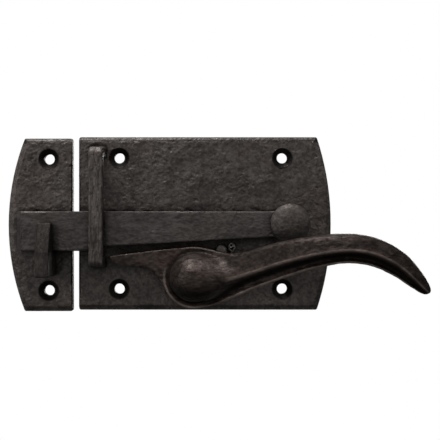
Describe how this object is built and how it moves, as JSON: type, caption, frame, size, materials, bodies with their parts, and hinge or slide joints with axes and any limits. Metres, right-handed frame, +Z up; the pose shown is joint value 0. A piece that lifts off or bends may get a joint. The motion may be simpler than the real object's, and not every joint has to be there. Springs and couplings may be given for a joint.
{
  "type": "toggle bolt latch",
  "caption": "Surface-mounted gate or cupboard latch: a curved thumb lever lifts a pivoted bar out of a hooked strike, and a hidden spring returns it.",
  "frame": {"origin": "the middle of the main plate's back face, on the latch bar's pivot height", "axes": "+X along the latch bar from the strike towards the lever's tip, +Y into the door out of the plates' backs, +Z up"},
  "size_m": [0.1799, 0.0437, 0.0768],
  "materials": {
    "plate_bronze": "sand-cast, hammered, oil-rubbed dark bronze",
    "bar_bronze": "cast, dark bronze patina, edges rubbed",
    "lever_bronze": "smooth cast, dark bronze patina, waxed",
    "pin_bronze": "turned, dark bronze patina",
    "spring_steel": "oiled spring wire"
  },
  "bodies": {
    "base": {"main_plate": "plate_bronze", "strike_plate": "plate_bronze", "strike_hook": "plate_bronze", "bar_guide": "plate_bronze", "bar_pivot_rivet": "pin_bronze", "bar_spacer_washer": "pin_bronze", "lever_thrust_washer": "pin_bronze", "return_spring": "spring_steel", "stop_pin": "pin_bronze", "spring_anchor_pin": "pin_bronze"},
    "bar": {"latch_bar": "bar_bronze"},
    "thumb_lever": {"lever": "lever_bronze", "lever_retaining_washer": "pin_bronze", "lever_retaining_screw": "pin_bronze"}
  },
  "joints": [
    {"name": "lever_turn", "type": "hinge", "parent": "base", "child": "thumb_lever", "pos_m": [-0.005, -0.007, -0.0235], "axis": [0, 1, 0], "range_deg": [0, 40], "stiffness_Nm_per_rad": 0.25, "springref_deg": -34.38, "deforming": ["return_spring"]},
    {"name": "bar_lift", "type": "hinge", "parent": "base", "child": "bar", "pos_m": [0.0367, -0.0092, 0], "axis": [0, 1, 0], "range_deg": [0, 14.8]}
  ],
  "couplings": [
    {"joint": "bar_lift", "follows": "lever_turn", "ratio": 0.365}
  ]
}
